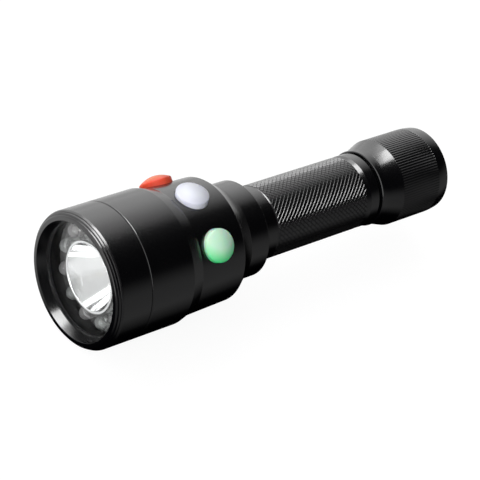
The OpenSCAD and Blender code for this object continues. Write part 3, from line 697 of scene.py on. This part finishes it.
# Tail cap: turned from bar with a flared cone and a band of straight ribs for the fingers,
# then anodised. It screws onto the barrel, and its end ring has a lanyard hole.
cap_low, cap_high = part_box("tail_cap")
cap_front = station(cap_low.y)
tail = station(cap_high.y)
cap_r = (cap_high.x - cap_low.x) / 2 / mm
cap_ring_r = cap_r - 2.05
cap_cone = cap_front + 3.4
rib_front = cap_cone + 5.9
rib_rear = rib_front + 17.9
rib_depth = 0.14
rib_count = 100
points_per_rib = 5
rib_runout = rib_depth * (rib_front - cap_cone) / (cap_r - cap_ring_r)
end_edge = 0.6
end_drop = 0.45
end_arc_len = tail - rib_rear - end_edge
end_arc_r = (end_arc_len ** 2 + end_drop ** 2) / (2 * end_drop)
cap_bore_r = 12.7
cap_seat_r = 12
cap_bore_end = spigot_end + 0.6
seat_end = station(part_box("tail_contact_board")[1].y)
tail_recess_r = cap_r - 3.2
tail_recess = tail - 7
rib_wall = 0.15
arc_steps = 8
lanyard_at = rib_rear + 1.9
lanyard_angle = -7
lanyard_hole_r = 1.5
end_arc = [(cap_r - end_arc_r + math.sqrt(end_arc_r ** 2 - along ** 2), rib_rear + along)
           for along in [rib_wall + (end_arc_len - rib_wall) * i / arc_steps for i in range(arc_steps + 1)]]
cap = spun("tail_cap_shell", [
    (0, seat_end), (cap_seat_r, seat_end), (cap_seat_r, cap_bore_end), (cap_bore_r, cap_bore_end),
    (cap_bore_r, cap_front), (cap_ring_r - ring_edge, cap_front), (cap_ring_r, cap_front + ring_edge),
    (cap_ring_r, cap_cone), (cap_r - rib_depth, rib_front - rib_runout), (cap_r, rib_front), (cap_r, rib_rear),
    *end_arc, (cap_r - end_drop - end_edge, tail), (tail_recess_r, tail), (tail_recess_r, tail_recess),
    (0, tail_recess),
], steps=rib_count * points_per_rib)


def cut_ribs(piece):
    """Presses one line of the band in five inwards, which leaves a sharp groove between two ribs."""
    slack = 0.01
    bpy.ops.object.mode_set(mode="EDIT")
    bpy.ops.mesh.select_mode(type="VERT")
    bpy.ops.mesh.select_all(action="DESELECT")
    bpy.ops.object.mode_set(mode="OBJECT")
    for point in piece.data.vertices:
        turn = math.atan2(point.co.z - axis_z, point.co.x) / (2 * math.pi) * rib_count * points_per_rib
        on_band = rib_front - slack < station(point.co.y) < rib_rear + slack
        outside = math.hypot(point.co.x, point.co.z - axis_z) > (cap_r - slack) * mm
        point.select = on_band and outside and round(turn) % points_per_rib == 0
    bpy.ops.object.mode_set(mode="EDIT")
    pressed = 1 - rib_depth / cap_r
    bpy.ops.transform.resize(value=(pressed, 1, pressed), center_override=lamp_front)
    bpy.ops.object.mode_set(mode="OBJECT")


select_only(cap)
cut_ribs(cap)
drill(cap, lamp_front + beam * lanyard_at * mm, outwards(lanyard_angle), lanyard_hole_r, drill_start, cap_r + 1,
      sides=32)
smooth(cap)
put(cap, anodised, "screw_cap", "black_anodised", "tail_cap")

# Stage: a plain pale floor under soft studio light. A bright box and a strip hang overhead with a wide dim
# box beside them, and two panels, next to the camera and in front, fill in. The room is pale in front,
# bright on the left and dark behind on the right, where the paper's gloss is dimmed by painted shade too.
bpy.ops.object.select_all(action="DESELECT")
floor_size = 12
floor_drop = 0.3 * mm
bpy.ops.mesh.primitive_plane_add(size=floor_size, location=(0, 0, -floor_drop))
floor = bpy.context.object
floor.name = "floor"
floor_material = bpy.data.materials.new("floor_paper")
floor_material.use_nodes = True
floor_tree = floor_material.node_tree


def maths(tree, operation, first, second):
    node = tree.nodes.new("ShaderNodeMath")
    node.operation = operation
    for source, socket in ((first, node.inputs[0]), (second, node.inputs[1])):
        if isinstance(source, bpy.types.NodeSocket):
            tree.links.new(source, socket)
        else:
            socket.default_value = source
    return node.outputs[0]


def ramp(tree, source, start, end, first, last):
    """Runs from the first to the last value, while the source goes from start to end."""
    node = tree.nodes.new("ShaderNodeMapRange")
    tree.links.new(source, node.inputs["Value"])
    for socket, value in (("From Min", start), ("From Max", end), ("To Min", first), ("To Max", last)):
        node.inputs[socket].default_value = value
    return node.outputs["Result"]


paper = floor_tree.nodes["Principled BSDF"]
paper.inputs["Roughness"].default_value = 0.9
paper.inputs["Specular IOR Level"].default_value = 0.0
glow = floor_tree.nodes.new("ShaderNodeEmission")
glow.inputs["Color"].default_value = (1, 1, 1, 1)
rays = floor_tree.nodes.new("ShaderNodeLightPath").outputs
# Painted light on the paper, seen only in the gloss: its lit colour is left out of glossy rays, and a painted glow
# stands in for light on its left and, dim, for shade on its right.
not_mirrored = maths(floor_tree, "SUBTRACT", 1, rays["Is Glossy Ray"])
floor_tree.links.new(maths(floor_tree, "MULTIPLY", not_mirrored, 0.18), paper.inputs["Base Color"])
in_sight = maths(floor_tree, "MAXIMUM", rays["Is Camera Ray"], rays["Is Transmission Ray"])
white = maths(floor_tree, "MULTIPLY", in_sight, 0.9)
paper_place = floor_tree.nodes.new("ShaderNodeSeparateXYZ")
floor_tree.links.new(floor_tree.nodes.new("ShaderNodeTexCoord").outputs["Object"], paper_place.inputs[0])
painted_lit_side = ramp(floor_tree, paper_place.outputs["X"], -0.045, -0.01, 1.0, 0)
painted_dim_side = ramp(floor_tree, paper_place.outputs["X"], 0.03, 0.055, 0, 0.22)
mirrored = maths(floor_tree, "MULTIPLY", rays["Is Glossy Ray"], maths(floor_tree, "MAXIMUM", painted_lit_side, painted_dim_side))
floor_tree.links.new(maths(floor_tree, "MAXIMUM", white, mirrored), glow.inputs["Strength"])
both = floor_tree.nodes.new("ShaderNodeAddShader")
floor_tree.links.new(paper.outputs[0], both.inputs[0])
floor_tree.links.new(glow.outputs[0], both.inputs[1])
floor_tree.links.new(both.outputs[0], floor_tree.nodes["Material Output"].inputs["Surface"])
floor.data.materials.append(floor_material)


def soft_box(name, place, aim, width, height, brightness):
    """A rectangular lamp whose face shines this many times as bright as white paper."""
    lamp = bpy.data.lights.new(name, "AREA")
    lamp.shape = "RECTANGLE"
    lamp.size = width
    lamp.size_y = height
    lamp.energy = math.pi * width * height * brightness
    holder = bpy.data.objects.new(name, lamp)
    bpy.context.scene.collection.objects.link(holder)
    holder.location = place
    holder.rotation_euler = (Vector(aim) - Vector(place)).to_track_quat("-Z", "Y").to_euler()
    holder.visible_camera = False
    return holder


# The lamps overhead face straight down and show only in the gloss of the metal: x, y, width, height, brightness.
ceiling = 1.0
OVERHEAD = {
    "key_box": (-0.23, 0.16, 0.54, 0.34, 10.5),
    "left_box": (-0.9, 0.11, 0.8, 0.67, 2.0),
    "front_strip": (-0.31, -0.22, 0.70, 0.3, 12),
}
for name, (x, y, width, height, brightness) in OVERHEAD.items():
    soft_box(name, (x, y, ceiling), (x, y, 0), width, height, brightness).visible_diffuse = False

# The panels light the colours and the inside of the head, and don't show in the gloss.
PANELS = {
    "fill_panel": ((0.9, -0.8, 0.7), (0, -0.03, 0.03), 0.8, 3.6),
    "front_panel": ((0.15, -1.25, 0.35), (0, -0.08, 0.024), 0.5, 5),
}
for name, (place, aim, side, brightness) in PANELS.items():
    soft_box(name, place, aim, side, side, brightness).visible_glossy = False

world = bpy.data.worlds.new("studio")
bpy.context.scene.world = world
world.use_nodes = True
world_tree = world.node_tree
toward = world_tree.nodes.new("ShaderNodeSeparateXYZ")
world_tree.links.new(world_tree.nodes.new("ShaderNodeTexCoord").outputs["Generated"], toward.inputs[0])
behind = ramp(world_tree, toward.outputs["Y"], -0.45, -0.2, 0, 1)
upwards = ramp(world_tree, toward.outputs["Z"], 0.15, 0.6, 0.85, 1.15)
leftwards = ramp(world_tree, toward.outputs["X"], -0.7, -0.03, 1.65, 0)
left_side = maths(world_tree, "MULTIPLY", maths(world_tree, "MULTIPLY", leftwards, upwards), behind)
front_side = ramp(world_tree, toward.outputs["Y"], -0.55, -0.3, 1.2, 0)
skyline = ramp(world_tree, toward.outputs["Z"], 0.05, 0.3, 0.18, 0.01)
room = maths(world_tree, "MAXIMUM", maths(world_tree, "MAXIMUM", left_side, front_side), skyline)
view_rays = world_tree.nodes.new("ShaderNodeLightPath").outputs["Is Camera Ray"]
world_tree.links.new(maths(world_tree, "MAXIMUM", room, view_rays),
                     world_tree.nodes["Background"].inputs["Strength"])
world_tree.nodes["Background"].inputs["Color"].default_value = (1, 1, 1, 1)

camera_place = (0.3576, -0.42417, 0.43529)
camera_azimuth, camera_elevation, camera_roll = 40.566, 37.229, 16.599
camera_data = bpy.data.cameras.new("camera")
camera_data.lens = 147.27
camera_data.sensor_width = 36
camera = bpy.data.objects.new("camera", camera_data)
bpy.context.scene.collection.objects.link(camera)
level_view = Euler((math.radians(90 - camera_elevation), 0, math.radians(camera_azimuth))).to_matrix()
tilted = level_view @ Matrix.Rotation(math.radians(camera_roll), 3, "Z")
camera.matrix_world = Matrix.Translation(camera_place) @ tilted.to_4x4()
bpy.context.scene.camera = camera
bpy.context.scene.view_settings.view_transform = "Standard"
